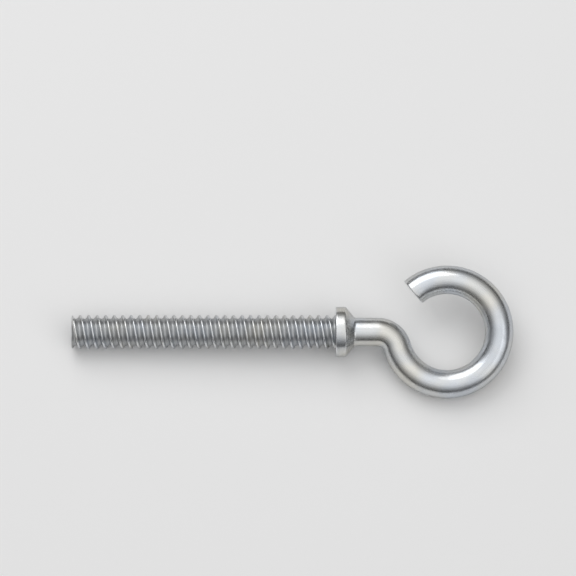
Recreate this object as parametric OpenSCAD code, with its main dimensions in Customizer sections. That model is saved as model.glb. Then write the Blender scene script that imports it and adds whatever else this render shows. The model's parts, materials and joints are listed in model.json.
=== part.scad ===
// Hook anchor: a screw-in hook made from one steel rod.
// The rod has a rolled two-start thread, a flat-faced collar, a bare shank
// and an open round hook whose centre lies on the axis of the thread.
// The origin is where that axis crosses the seat face of the collar.
// The axis runs along X, with the threaded end at -X, and is pitched a little,
// because the hook lies as it comes to rest: on the threaded end, on the edge
// of the collar and on one side of the round hook.

/* [Rod] */
// Diameter of the bare rod, in the shank, the bend and the hook
rod_d = 10; // [8:0.5:12]

/* [Thread] */
// Diameter over the ridges
thread_d = 12; // [10:0.5:14]
// Height of a ridge above the bottom of the valley
ridge_h = 1.35; // [0.8:0.05:1.6]
// Distance along the rod from one ridge to the next
ridge_spacing = 3; // [2.5:0.25:4]
// Number of ridges that wind side by side
thread_starts = 2; // [1:1:3]
// Width of a ridge at its crest
crest_w = 0.5; // [0.3:0.1:0.8]
// Width of a ridge at its foot
foot_w = 1.5; // [1.2:0.1:2]
// Height of a ridge's foot above the bottom of the valley
foot_rise = 0.2; // [0.1:0.05:0.3]
// Length from the threaded end to the seat face of the collar
thread_l = 93; // [60:1:120]
// Bevel round the threaded end
end_bevel = 0.5; // [0.2:0.1:1]

/* [Collar] */
// Diameter of the collar
collar_d = 17.7; // [16:0.1:24]
// Thickness of its rim
rim_l = 3.5; // [2:0.5:6]
// Length of the cone from the rim down to the shank
cone_l = 3.15; // [2:0.05:6]
// Length of the low cone that fills the corner between thread and seat face
corner_l = 0.3; // [0.2:0.05:1]
// How far that low cone reaches out past the ridges, so that the seat is round
corner_margin = 0.15; // [0.1:0.05:0.5]

/* [Hook] */
// Length of straight shank between the cone and the bend
shank_l = 8.15; // [4:0.05:40]
// Inside radius of the bend between the shank and the hook
bend_inside_r = 2; // [1:0.5:10]
// Inside diameter of the round hook
eye_d = 26.8; // [20:0.1:40]
// Direction of the cut end from the hook's centre, counted from the far side
end_angle = 130.5; // [90:0.5:145]

/* [Hidden] */
$fn = 96;

rod_r = rod_d / 2;
thread_r = thread_d / 2;
root_r = thread_r - ridge_h;
collar_r = collar_d / 2;
corner_r = max(thread_r, rod_r) + corner_margin;

// The bend turns down until the hook, centred on the axis, goes on from it
shank_end = rim_l + cone_l + shank_l;
bend_r = bend_inside_r + rod_r;
ring_r = eye_d / 2 + rod_r;
bend_turn = round(1000 * acos(bend_r / (bend_r + ring_r))) / 1000;
bend_end = 90 - bend_turn;
bend_centre = [shank_end, -bend_r, 0];
ring_centre = bend_centre + (bend_r + ring_r) * [cos(bend_end), sin(bend_end), 0];
ring_turn = 180 + end_angle - bend_end;

// Section of one ridge with half a valley on each side:
// distance along the rod from the middle of the ridge, and radius
ridge_section = [
    [-ridge_spacing / 2, root_r],
    [-foot_w / 2, root_r + foot_rise],
    [-crest_w / 2, thread_r],
    [crest_w / 2, thread_r],
    [foot_w / 2, root_r + foot_rise],
    [ridge_spacing / 2, root_r],
];
// Largest radius that the thread may have along the rod, for the bevel at the
// threaded end. The ridges run up to the collar and end inside it.
envelope = [
    [-thread_l, thread_r - end_bevel],
    [-thread_l + end_bevel, thread_r],
];
thread_from = -thread_l;
thread_to = rim_l / 2;

// The thread's surface is a net: columns run along the rod, and rows wind
// round it with the ridges, so a row leaves the last column one lead further on
lead = ridge_spacing * thread_starts;
columns = 24;
rows_per_ridge = len(ridge_section) - 1;
ridge_count = ceil((thread_to - thread_from) / ridge_spacing) + 1;
row_starts = [
    for (k = [-thread_starts - 1 : ridge_count], p = [0 : rows_per_ridge - 1])
        -thread_l + k * ridge_spacing + ridge_section[p][0]
];
row_count = len(row_starts);
// Rows closer than this to an end of the thread are drawn onto it
merge_l = 0.05;

function along(i, j) = row_starts[i] + lead * j / columns;
// For each column, the last row before the thread and the first one past it
column_ends = [
    for (j = [0 : columns - 1]) [
        max([for (i = [0 : row_count - 1]) if (along(i, j) < thread_from + merge_l) i]),
        min([for (i = [0 : row_count - 1]) if (along(i, j) > thread_to - merge_l) i])
    ]
];
function thread_radius(x, turn) =
    let (d = x + thread_l - lead * turn)
    min(lookup(d - ridge_spacing * round(d / ridge_spacing), ridge_section), lookup(x, envelope));
function net_point(i, j) =
    let (
        ends = column_ends[j],
        x = i <= ends[0] ? thread_from : i >= ends[1] ? thread_to : along(i, j),
        r = thread_radius(x, j / columns)
    )
    [x, r * cos(360 * j / columns), r * sin(360 * j / columns)];
function net_index(i, j) =
    j == columns
        ? net_index(i + thread_starts * rows_per_ridge, 0)
        : j * row_count + min(max(i, column_ends[j][0]), column_ends[j][1]);
function is_triangle(t) = t[0] != t[1] && t[1] != t[2] && t[2] != t[0];

module thread() {
    centre_from = columns * row_count;
    centre_to = centre_from + 1;
    points = [
        for (j = [0 : columns - 1], i = [0 : row_count - 1]) net_point(i, j),
        [thread_from, 0, 0],
        [thread_to, 0, 0]
    ];
    side = [
        for (j = [0 : columns - 1], i = [0 : row_count - 2])
            let (
                a = net_index(i, j),
                b = net_index(i + 1, j),
                c = net_index(i + 1, j + 1),
                d = net_index(i, j + 1)
            )
            for (t = [[a, b, c], [a, c, d]]) if (is_triangle(t)) t
    ];
    ends = [
        for (j = [0 : columns - 1])
            for (t = [
                [centre_from, net_index(0, j), net_index(0, j + 1)],
                [centre_to, net_index(row_count, j + 1), net_index(row_count, j)]
            ]) t
    ];
    polyhedron(points, concat(side, ends));
}

// Collar with its cone, and the straight shank, turned round the axis
module collar_and_shank() {
    rotate([0, 90, 0])
        rotate_extrude()
            polygon([
                [0, -corner_l],
                [root_r, -corner_l],
                [corner_r, 0],
                [collar_r, 0],
                [collar_r, rim_l],
                [rod_r, rim_l + cone_l],
                [rod_r, shank_end],
                [0, shank_end]
            ]);
}

// Rod bent to a radius, from one direction round to another
module bent_rod(radius, from, turn) {
    rotate_extrude(angle = turn, start = from)
        translate([radius, 0])
            circle(r = rod_r);
}

// Places the ring in two steps, thousandths first and then the small rest,
// so that its end face meets the end face of the bend
module at_ring_centre() {
    coarse = [for (v = ring_centre) round(1000 * v) / 1000];
    translate(coarse)
        translate(ring_centre - coarse)
            children();
}

// Rest: the crests near the threaded end, the edge of the seat face and the
// side of the ring all touch one floor
first_crest = thread_l - ridge_spacing / 2;
lie_pitch = atan((collar_r - thread_r) / first_crest);
ring_slope = (collar_r * cos(lie_pitch) - rod_r + ring_centre[0] * sin(lie_pitch)) / ring_r;
lie_roll = acos(sqrt(1 - ring_slope * ring_slope) / cos(lie_pitch));

module hook() {
    color([0.78, 0.79, 0.80])
        rotate([lie_roll, -lie_pitch, 0])
            union() {
                thread();
                collar_and_shank();
                translate(bend_centre)
                    bent_rod(bend_r, bend_end, bend_turn);
                at_ring_centre()
                    bent_rod(ring_r, 180 + bend_end, ring_turn);
            }
}

hook();
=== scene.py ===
import math

import bmesh
import bpy
from mathutils import Matrix, Vector
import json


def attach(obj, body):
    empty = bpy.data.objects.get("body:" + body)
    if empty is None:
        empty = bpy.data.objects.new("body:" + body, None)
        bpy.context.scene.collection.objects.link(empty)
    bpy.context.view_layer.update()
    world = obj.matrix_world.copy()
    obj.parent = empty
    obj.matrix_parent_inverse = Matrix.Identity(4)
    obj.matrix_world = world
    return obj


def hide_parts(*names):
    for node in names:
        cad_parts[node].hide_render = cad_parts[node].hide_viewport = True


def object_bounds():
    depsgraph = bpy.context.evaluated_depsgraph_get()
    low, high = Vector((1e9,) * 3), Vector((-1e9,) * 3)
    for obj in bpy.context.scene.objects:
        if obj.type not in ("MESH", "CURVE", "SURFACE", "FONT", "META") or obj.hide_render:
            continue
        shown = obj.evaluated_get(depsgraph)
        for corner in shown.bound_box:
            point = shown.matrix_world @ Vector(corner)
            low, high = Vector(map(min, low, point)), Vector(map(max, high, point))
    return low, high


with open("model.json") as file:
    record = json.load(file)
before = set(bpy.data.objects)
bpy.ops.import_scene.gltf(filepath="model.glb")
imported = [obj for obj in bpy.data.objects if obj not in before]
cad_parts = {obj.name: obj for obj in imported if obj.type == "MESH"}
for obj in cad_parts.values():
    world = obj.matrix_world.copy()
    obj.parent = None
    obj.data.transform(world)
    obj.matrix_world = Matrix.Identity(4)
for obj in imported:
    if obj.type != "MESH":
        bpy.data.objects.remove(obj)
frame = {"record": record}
cad_low, cad_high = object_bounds()

# Where the hook lies
# The mesh is made with the rod's axis along X, the hook's plane in XY and the seat
# face of the collar at zero, and is then laid down as the mounts of the frame say.
mounts = {mount["name"]: mount for mount in frame["record"]["mounts"]}
rod_axis = -Vector(mounts["collar_seat"]["axis"]).normalized()
hook_normal = Vector(mounts["eye"]["axis"]).normalized()
lying = Matrix((rod_axis, hook_normal.cross(rod_axis), hook_normal)).transposed().to_4x4()
lying.translation = Vector(mounts["collar_seat"]["pos_m"])

# Rolled thread
# The straight end of the rod, rolled cold between dies that press two narrow ridges
# out of it, side by side, and leave wide shallow valleys. Its end is cut square.
thread_r = mounts["thread"]["dims"]["r_mm"] / 1000
thread_l = mounts["thread"]["dims"]["length_mm"] / 1000
rod_r = 0.005
valley_r = 0.00465
foot_r = 0.00485
ridge_spacing = 0.003
starts = 2
crest_w = 0.0005
foot_w = 0.0015
crest_round = 0.00018
foot_round = 0.0005
ridge_round_steps = 3
end_bevel = 0.0005
thread_steps = 72
weld = 2e-6

body = bmesh.new()


def all_parts(mesh):
    return mesh.verts[:] + mesh.edges[:] + mesh.faces[:]


def wire(mesh, points):
    """A chain of edges through points given as distance along the rod and radius."""
    corners = [mesh.verts.new((x, r, 0)) for x, r in points]
    for pair in zip(corners, corners[1:]):
        mesh.edges.new(pair)
    return corners


def round_corners(mesh, corners, size, segments):
    bmesh.ops.bevel(
        mesh, geom=corners, offset=size, offset_type="OFFSET", segments=segments,
        profile=0.5, affect="VERTICES", material=-1,
    )


lead = ridge_spacing * starts
section = []
for ridge in range(starts):
    middle = -thread_l - lead + ridge * ridge_spacing
    section += [
        (middle - ridge_spacing / 2, valley_r),
        (middle - foot_w / 2, foot_r),
        (middle - crest_w / 2, thread_r),
        (middle + crest_w / 2, thread_r),
        (middle + foot_w / 2, foot_r),
    ]
section.append((section[0][0] + lead, valley_r))
chain = wire(body, section)
crests = [corner for corner in chain if corner.co.y == chain[2].co.y]
feet = [corner for corner in chain if corner.co.y == chain[1].co.y]
round_corners(body, crests, crest_round, ridge_round_steps)
round_corners(body, feet, foot_round, ridge_round_steps)

# One turn of the dies, then a copy of it for each lead of the thread
bmesh.ops.spin(
    body, geom=all_parts(body), cent=(0, 0, 0), axis=(1, 0, 0),
    dvec=(lead / thread_steps, 0, 0), angle=math.tau, steps=thread_steps,
)
one_turn = all_parts(body)
for turn in range(1, math.ceil(thread_l / lead) + 1):
    copy = bmesh.ops.duplicate(body, geom=one_turn)["geom"]
    moved = [part for part in copy if isinstance(part, bmesh.types.BMVert)]
    bmesh.ops.translate(body, verts=moved, vec=(turn * lead, 0, 0))
bmesh.ops.remove_doubles(body, verts=body.verts, dist=weld)

# Cut square at the end, and cut off where the low corner under the collar starts
corner_l = 0.0003
corner_margin = 0.00015
corner_r = thread_r + corner_margin
on_plane = 1e-7
for place, outward in ((-thread_l, -1), (-corner_l, 1)):
    bmesh.ops.bisect_plane(
        body, geom=all_parts(body), dist=on_plane, plane_co=(place, 0, 0),
        plane_no=(outward, 0, 0), clear_outer=True,
    )
for vert in body.verts:
    radius = math.hypot(vert.co.y, vert.co.z)
    bevelled = min(radius, thread_r - end_bevel + thread_l + vert.co.x)
    vert.co.y *= bevelled / radius
    vert.co.z *= bevelled / radius


def loop_at(mesh, place):
    """The open edge of the mesh that lies in the plane at this distance along the rod."""
    return [
        edge for edge in mesh.edges
        if edge.is_boundary and all(abs(vert.co.x - place) < weld for vert in edge.verts)
    ]


sheared = bmesh.ops.contextual_create(body, geom=loop_at(body, -thread_l))["faces"]
sheared[0].material_index = 1

# The ridges run up to the collar, where a low hollow corner evens them out to a circle
corner_steps = 5
corner_edges = loop_at(body, -corner_l)
for step in range(corner_steps):
    turned, next_turned = (math.pi / 2 * (step + k) / corner_steps for k in (0, 1))
    extruded = bmesh.ops.extrude_edge_only(body, edges=corner_edges)["geom"]
    corner_edges = [part for part in extruded if isinstance(part, bmesh.types.BMEdge)]
    gained = 1 - math.cos(next_turned) / math.cos(turned)
    for vert in {vert for edge in corner_edges for vert in edge.verts}:
        radius = math.hypot(vert.co.y, vert.co.z)
        wider = radius + (corner_r - radius) * gained
        vert.co = (corner_l * (math.sin(next_turned) - 1), *(vert.co.yz * wider / radius))

# Collar and shank
# The collar is upset from the hot rod against a flat die: a flat seat face round the
# thread, a plain rim and a cone. The shank beyond it is the bare rod.
collar_r = 0.00885
rim_l = 0.0035
cone_l = 0.00315
shank_l = 0.00815
shank_end = rim_l + cone_l + shank_l
rim_round = 0.00035
cone_round = 0.0006
collar_round_steps = 4
rubbed_w = 0.0009
rod_steps = 96

collar = bmesh.new()
outline = wire(collar, [
    (0, corner_r + corner_l),
    (0, collar_r),
    (rim_l, collar_r),
    (rim_l + cone_l, rod_r),
    (shank_end, rod_r),
])
rim_corners, cone_foot = outline[1:3], outline[3]
round_corners(collar, rim_corners, rim_round, collar_round_steps)
round_corners(collar, [cone_foot], cone_round, collar_round_steps)
bmesh.ops.spin(
    collar, geom=all_parts(collar), cent=(0, 0, 0), axis=(1, 0, 0),
    angle=math.tau, steps=rod_steps, use_merge=True,
)
for place in (rubbed_w, rim_l - rubbed_w, rim_l + rubbed_w):
    bmesh.ops.bisect_plane(
        collar, geom=all_parts(collar), plane_co=(place, 0, 0), plane_no=(1, 0, 0),
    )
collar_mesh = bpy.data.meshes.new("collar")
collar.to_mesh(collar_mesh)
collar.free()
body.from_mesh(collar_mesh)
bpy.data.meshes.remove(collar_mesh)
bmesh.ops.triangle_fill(body, edges=loop_at(body, 0), normal=(-1, 0, 0), use_beauty=True)

# Round hook
# The end of the rod, bent cold round two pins: first away from the axis, then back
# round into an open eye whose centre is on the axis. The tip is sheared square.
eye_r = mounts["eye"]["dims"]["r_mm"] / 1000
bend_inside_r = 0.002
bend_r = rod_r + bend_inside_r
ring_r = rod_r + eye_r
bend_turn = math.acos(bend_r / (bend_r + ring_r))
bend_end = math.pi / 2 - bend_turn
tip_direction = math.radians(130.5)
ring_turn = math.pi + tip_direction - bend_end
bend_centre = Vector((shank_end, -bend_r, 0))
ring_centre = bend_centre + (bend_r + ring_r) * Vector((math.cos(bend_end), math.sin(bend_end), 0))
bend_steps = 30
ring_steps = 140
tip_round = 0.00025
tip_round_steps = 3
cut_edge_w = rubbed_w / 2

section_edges = loop_at(body, shank_end)
for centre, axis, turn, steps in (
    (bend_centre, (0, 0, -1), bend_turn, bend_steps),
    (ring_centre, (0, 0, 1), ring_turn, ring_steps),
):
    section_verts = list({vert for edge in section_edges for vert in edge.verts})
    spun = bmesh.ops.spin(
        body, geom=section_verts + section_edges, cent=centre, axis=axis,
        angle=turn, steps=steps,
    )["geom_last"]
    section_edges = [part for part in spun if isinstance(part, bmesh.types.BMEdge)]
tip = bmesh.ops.contextual_create(body, geom=section_edges)["faces"]
tip[0].material_index = 1
bmesh.ops.bevel(
    body, geom=tip[0].edges[:], offset=tip_round, offset_type="OFFSET",
    segments=tip_round_steps, profile=0.5, affect="EDGES", material=0,
)
cut_faces = [face for face in body.faces if face.material_index == 1]
bmesh.ops.inset_individual(body, faces=cut_faces, thickness=cut_edge_w, use_even_offset=True)
bmesh.ops.recalc_face_normals(body, faces=body.faces)

# Where each point was on the straight rod: the finish runs along it, round the bends
straight = body.verts.layers.float_vector.new("straight")
for vert in body.verts:
    x, y, z = vert.co
    if x <= shank_end and abs(y) < collar_r + weld and abs(z) < collar_r + weld:
        vert[straight] = (x, y, z)
        continue
    from_bend = vert.co - bend_centre
    from_ring = vert.co - ring_centre
    turned = math.pi / 2 - math.atan2(from_bend.y, from_bend.x)
    if 0 <= turned <= bend_turn and math.hypot(from_bend.x, from_bend.y) < bend_r + rod_r + weld:
        out = math.hypot(from_bend.x, from_bend.y) - bend_r
        vert[straight] = (shank_end + bend_r * turned, out, z)
    else:
        turned = (math.atan2(from_ring.y, from_ring.x) - math.pi - bend_end) % math.tau
        out = ring_r - math.hypot(from_ring.x, from_ring.y)
        vert[straight] = (shank_end + bend_r * bend_turn + ring_r * turned, out, z)

# Edges that stand out are rubbed bright: the crests, the collar's rim and the tip
worn = body.verts.layers.float.new("worn")
worn_from, worn_to = math.radians(9), math.radians(22)
for edge in body.edges:
    if edge.is_manifold:
        share = (edge.calc_face_angle_signed() - worn_from) / (worn_to - worn_from)
        for vert in edge.verts:
            vert[worn] = max(vert[worn], min(share, 1))

bmesh.ops.transform(body, matrix=lying, verts=body.verts)
hook_mesh = bpy.data.meshes.new("hook_rod")
body.to_mesh(hook_mesh)
body.free()
sharp_from = math.radians(35)
hook_mesh.shade_smooth()
hook_mesh.set_sharp_from_angle(angle=sharp_from)
hook_rod = bpy.data.objects.new("hook_rod", hook_mesh)
bpy.context.scene.collection.objects.link(hook_rod)
flat_shading = hook_rod.modifiers.new("flat_faces_stay_flat", "WEIGHTED_NORMAL")
flat_shading.keep_sharp = True

# Zinc plating
# The finished hook is barrel-plated with bright zinc, so one thin skin covers the
# drawn rod, the thread and the sheared ends, and shows the marks that lie under it.


def add(tree, kind, inputs, **properties):
    """A node whose inputs are set to values or linked from sockets. Returns its outputs."""
    node = tree.nodes.new(kind)
    for name, value in properties.items():
        setattr(node, name, value)
    for name, value in inputs.items():
        if isinstance(value, bpy.types.NodeSocket):
            tree.links.new(value, node.inputs[name])
        else:
            node.inputs[name].default_value = value
    return node.outputs


def weigh(tree, terms, start=0.0):
    """Adds up sockets, each times its own weight."""
    total = start
    for socket, weight in terms:
        total = add(
            tree, "ShaderNodeMath", {0: socket, 1: weight, 2: total}, operation="MULTIPLY_ADD",
        )[0]
    return total


plating = bpy.data.node_groups.new("zinc_plating", "ShaderNodeTree")
# The Dulled input marks a duller skin; on the rod it also carries painted shade in the thread
# valleys
for name, kind in (
    ("Place", "NodeSocketVector"),
    ("Worn", "NodeSocketFloat"),
    ("Dulled And Shaded", "NodeSocketFloat"),
    ("Streak Height", "NodeSocketFloat"),
    ("Grain Height", "NodeSocketFloat"),
    ("Base Roughness", "NodeSocketFloat"),
):
    plating.interface.new_socket(name, in_out="INPUT", socket_type=kind)
for name, kind in (
    ("Colour", "NodeSocketColor"),
    ("Roughness", "NodeSocketFloat"),
    ("Height", "NodeSocketFloat"),
):
    plating.interface.new_socket(name, in_out="OUTPUT", socket_type=kind)
given = plating.nodes.new("NodeGroupInput").outputs
place = given["Place"]

# Marks in the metal and the skin: drawing streaks, cloudy patches, grain, scratches
streaks = add(plating, "ShaderNodeTexNoise", {
    "Vector": add(plating, "ShaderNodeMapping", {"Vector": place, "Scale": (45, 1700, 1700)})[0],
    "Scale": 1, "Detail": 3,
})["Fac"]
clouds = add(plating, "ShaderNodeTexNoise", {"Vector": place, "Scale": 240, "Detail": 2})["Fac"]
tint = add(plating, "ShaderNodeTexNoise", {"Vector": place, "Scale": 95, "Detail": 1})["Fac"]
grain = add(plating, "ShaderNodeTexNoise", {"Vector": place, "Scale": 4200, "Detail": 2})["Fac"]
scratches = 0.0
for turn, stretch in (
    ((0.3, 0.4, 0.25), (24, 1300, 1300)),
    ((0.9, -0.5, 0.8), (30, 1200, 1200)),
):
    field = add(plating, "ShaderNodeTexNoise", {
        "Vector": add(plating, "ShaderNodeMapping", {
            "Vector": place, "Rotation": turn, "Scale": stretch,
        })[0],
        "Scale": 1, "Detail": 1,
    })["Fac"]
    off_line = add(plating, "ShaderNodeMath", {0: field, 1: 0.5}, operation="SUBTRACT")[0]
    off_line = add(plating, "ShaderNodeMath", {0: off_line}, operation="ABSOLUTE")[0]
    line = add(plating, "ShaderNodeMapRange", {
        "Value": off_line, "From Min": 0.0, "From Max": 0.02, "To Min": 1.0, "To Max": 0.0,
    }, interpolation_type="SMOOTHSTEP")[0]
    scratches = add(plating, "ShaderNodeMath", {0: line, 1: scratches}, operation="MAXIMUM")[0]
patchy = add(plating, "ShaderNodeMapRange", {
    "Value": clouds, "From Min": 0.5, "From Max": 0.62,
})[0]
scratches = add(plating, "ShaderNodeMath", {0: scratches, 1: patchy}, operation="MULTIPLY")[0]

# Small knocks, where the hooks tumbled against each other in the plating barrel
cells = add(plating, "ShaderNodeTexVoronoi", {
    "Vector": add(plating, "ShaderNodeMapping", {
        "Vector": place, "Rotation": (0.6, 0.9, 0.5), "Scale": (190, 560, 560),
    })[0],
    "Scale": 1,
})
hollow = add(plating, "ShaderNodeMapRange", {
    "Value": cells["Distance"], "From Min": 0.0, "From Max": 0.2, "To Min": 1.0, "To Max": 0.0,
}, interpolation_type="SMOOTHSTEP")[0]
chance = add(plating, "ShaderNodeSeparateColor", {0: cells["Color"]})[0]
struck = add(plating, "ShaderNodeMath", {0: chance, 1: 0.5}, operation="GREATER_THAN")[0]
knocks = add(plating, "ShaderNodeMath", {0: hollow, 1: struck}, operation="MULTIPLY")[0]

# The edges that stand out are rubbed unevenly
rubbed = add(plating, "ShaderNodeMath", {
    0: given["Worn"],
    1: add(plating, "ShaderNodeMapRange", {
        "Value": clouds, "From Min": 0.35, "From Max": 0.55, "To Min": 0.45,
    })[0],
}, operation="MULTIPLY")[0]

# A bluish and a yellowish white, as the clear chromate over the zinc shows
cool_zinc = (0.60, 0.63, 0.67, 1)
warm_zinc = (0.66, 0.65, 0.61, 1)
# The dull grey is painted shade in the thread valleys, and the dull tone of the broken part of a
# cut face
dulled_and_shaded_zinc = (0.36, 0.37, 0.38, 1)
bright_zinc = (0.76, 0.77, 0.79, 1)
colour = add(plating, "ShaderNodeMix", {
    0: add(plating, "ShaderNodeMapRange", {"Value": tint, "From Min": 0.35, "From Max": 0.7})[0],
    6: cool_zinc, 7: warm_zinc,
}, data_type="RGBA")[2]
# Darker where the skin is dulled: in the thread valleys this is painted shade, on a cut face the
# dull broken part; cloudy patches vary the tone at random
shade = weigh(plating, ((given["Dulled And Shaded"], 0.75), (clouds, 0.25)), start=-0.1)
colour = add(plating, "ShaderNodeMix", {0: shade, 6: colour, 7: dulled_and_shaded_zinc}, data_type="RGBA")[2]
colour = add(plating, "ShaderNodeMix", {0: rubbed, 6: colour, 7: bright_zinc}, data_type="RGBA")[2]

# Streaks and clouds add this much roughness on average, so the base is lowered by it
mean_added = 0.15
lowered = add(plating, "ShaderNodeMath", {
    0: given["Base Roughness"], 1: mean_added,
}, operation="SUBTRACT")[0]
roughness = weigh(plating, (
    (streaks, 0.16), (clouds, 0.14), (scratches, 0.16), (given["Dulled And Shaded"], 0.16), (rubbed, -0.08),
), start=lowered)
height = weigh(plating, ((clouds, 5e-5), (scratches, -3e-6), (knocks, -1.6e-5)))
for mark, depth in ((streaks, given["Streak Height"]), (grain, given["Grain Height"])):
    height = add(
        plating, "ShaderNodeMath", {0: mark, 1: depth, 2: height}, operation="MULTIPLY_ADD",
    )[0]
result = plating.nodes.new("NodeGroupOutput").inputs
for name, socket in (("Colour", colour), ("Roughness", roughness), ("Height", height)):
    plating.links.new(socket, result[name])


def valley_shade_and_dull_skin(tree, along, across, aside):
    """A thicker, duller skin lies in the valleys of the thread, and painted shade darkens them."""
    crest_h = 0.0003
    seat_fade_l = 0.0006
    radius = add(tree, "ShaderNodeVectorMath", {
        0: add(tree, "ShaderNodeCombineXYZ", {"Y": across, "Z": aside})[0],
    }, operation="LENGTH")["Value"]
    low = add(tree, "ShaderNodeMapRange", {
        "Value": radius, "From Min": valley_r, "From Max": thread_r - crest_h,
        "To Min": 1.0, "To Max": 0.0,
    })[0]
    on_thread = add(tree, "ShaderNodeMapRange", {
        "Value": along, "From Min": -seat_fade_l, "From Max": 0.0, "To Min": 1.0, "To Max": 0.0,
    })[0]
    return add(tree, "ShaderNodeMath", {0: low, 1: on_thread}, operation="MULTIPLY")[0]


def where_it_broke(tree, along, across, aside):
    """A shear cuts one side of the rod smooth, and the rest breaks away rough and dull."""
    ragged_w = 0.004
    break_from, break_to = 0.0010, 0.0022
    face_place = add(tree, "ShaderNodeCombineXYZ", {"X": across, "Y": aside})[0]
    ragged = add(tree, "ShaderNodeTexNoise", {
        "Vector": face_place, "Scale": 500, "Detail": 5,
    })["Fac"]
    past_line = add(tree, "ShaderNodeMath", {
        0: ragged, 1: ragged_w, 2: across,
    }, operation="MULTIPLY_ADD")[0]
    broken = add(tree, "ShaderNodeMapRange", {
        "Value": past_line, "From Min": break_from, "From Max": break_to, "To Min": 0.05,
    })[0]
    pits = add(tree, "ShaderNodeTexNoise", {
        "Vector": face_place, "Scale": 1500, "Detail": 8, "Roughness": 0.75,
    })["Fac"]
    deep = add(tree, "ShaderNodeMapRange", {"Value": pits, "From Min": 0.38, "From Max": 0.6})[0]
    return add(tree, "ShaderNodeMath", {0: broken, 1: deep}, operation="MULTIPLY")[0]


def zinc_plated(name, dulled_and_shaded_at, turn, streak_height, grain_height, dull_grain, roughness):
    """Steel under zinc. The marks run along the straight rod, or a turn away from it."""
    grazing_tint = (0.7, 0.7, 0.7, 1)
    material = bpy.data.materials.new(name)
    material.use_nodes = True
    tree = material.node_tree
    shader = tree.nodes["Principled BSDF"]
    shader.inputs["Metallic"].default_value = 1
    shader.inputs["Specular Tint"].default_value = grazing_tint
    rod_place = add(tree, "ShaderNodeAttribute", {}, attribute_name="straight")["Vector"]
    dulled_and_shaded = dulled_and_shaded_at(tree, *add(tree, "ShaderNodeSeparateXYZ", {0: rod_place}))
    skin = add(tree, "ShaderNodeGroup", {
        "Place": add(tree, "ShaderNodeMapping", {"Vector": rod_place, "Rotation": turn})[0],
        "Worn": add(tree, "ShaderNodeAttribute", {}, attribute_name="worn")["Fac"],
        "Dulled And Shaded": dulled_and_shaded,
        "Streak Height": streak_height,
        "Grain Height": add(tree, "ShaderNodeMath", {
            0: dulled_and_shaded, 1: dull_grain, 2: grain_height,
        }, operation="MULTIPLY_ADD")[0],
        "Base Roughness": roughness,
    }, node_tree=plating)
    bump = add(tree, "ShaderNodeBump", {"Height": skin["Height"], "Distance": 1.0})[0]
    tree.links.new(skin["Colour"], shader.inputs["Base Color"])
    tree.links.new(skin["Roughness"], shader.inputs["Roughness"])
    tree.links.new(bump, shader.inputs["Normal"])
    return material


# On the rod, the thread valleys get painted shade and a duller, rougher skin
hook_mesh.materials.append(zinc_plated(
    "zinc_plated_rod", valley_shade_and_dull_skin, turn=(0, 0, 0),
    streak_height=1.2e-5, grain_height=2e-6, dull_grain=0.0, roughness=0.27,
))
hook_mesh.materials.append(zinc_plated(
    "zinc_plated_cut", where_it_broke, turn=(0, 0, math.pi / 2),
    streak_height=8e-5, grain_height=5e-6, dull_grain=2e-4, roughness=0.36,
))

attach(hook_rod, "root")
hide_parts("hook")

# Floor, light and camera
# A plain pale floor under the hook, soft lamps, and a far camera with a long lens
# that looks straight down on the hook's plane, with the threaded end at the left.
floor_half = 1.5
floor_mesh = bpy.data.meshes.new("floor")
floor_shape = bmesh.new()
bmesh.ops.create_grid(floor_shape, x_segments=1, y_segments=1, size=floor_half)
bmesh.ops.translate(floor_shape, verts=floor_shape.verts, vec=(0, 0, cad_low.z))
floor_shape.to_mesh(floor_mesh)
floor_shape.free()
floor = bpy.data.objects.new("floor", floor_mesh)
bpy.context.scene.collection.objects.link(floor)
floor_paint = bpy.data.materials.new("floor_paint")
floor_paint.use_nodes = True
floor_shader = floor_paint.node_tree.nodes["Principled BSDF"]
floor_shader.inputs["Base Color"].default_value = (0.87, 0.87, 0.87, 1)
floor_shader.inputs["Roughness"].default_value = 0.8
floor_mesh.materials.append(floor_paint)

# The studio is dim near the floor and bright overhead
horizon_glow, overhead_glow = 0.06, 1.2
world = bpy.data.worlds.new("studio")
world.use_nodes = True
sky = world.node_tree
direction = add(sky, "ShaderNodeTexCoord", {})["Generated"]
upward = add(sky, "ShaderNodeSeparateXYZ", {0: direction})["Z"]
overhead = add(sky, "ShaderNodeMath", {0: upward, 1: 2.0}, operation="POWER")[0]
grey = add(sky, "ShaderNodeMapRange", {
    "Value": overhead, "To Min": horizon_glow, "To Max": overhead_glow,
})[0]
sky.links.new(grey, sky.nodes["Background"].inputs["Strength"])
sky.nodes["Background"].inputs["Color"].default_value = (1, 1, 1, 1)
bpy.context.scene.world = world

middle = (cad_low + cad_high) / 2
for name, place, size, power in (
    ("key", (-0.40, 0.75, 0.90), 1.0, 5.0),
    ("fill", (0.80, -0.60, 0.80), 0.9, 1.5),
):
    lamp = bpy.data.lights.new(name, "AREA")
    lamp.size = size
    lamp.energy = power
    lamp_object = bpy.data.objects.new(name, lamp)
    lamp_object.location = middle + Vector(place)
    lamp_object.rotation_mode = "QUATERNION"
    lamp_object.rotation_quaternion = (-Vector(place)).to_track_quat("-Z", "Y")
    bpy.context.scene.collection.objects.link(lamp_object)

image_px = 576
px_per_metre = 2838.6
seat_px = 335.2
axis_px = 331.5
camera_height = 3
image_middle = Vector((
    ((image_px - 1) / 2 - seat_px) / px_per_metre,
    (axis_px - (image_px - 1) / 2) / px_per_metre,
    camera_height,
))
camera_data = bpy.data.cameras.new("camera")
camera_data.lens = camera_data.sensor_width * camera_height * px_per_metre / image_px
camera = bpy.data.objects.new("camera", camera_data)
camera.matrix_world = lying @ Matrix.Translation(image_middle)
bpy.context.scene.collection.objects.link(camera)
bpy.context.scene.camera = camera
bpy.context.scene.view_settings.view_transform = "Standard"
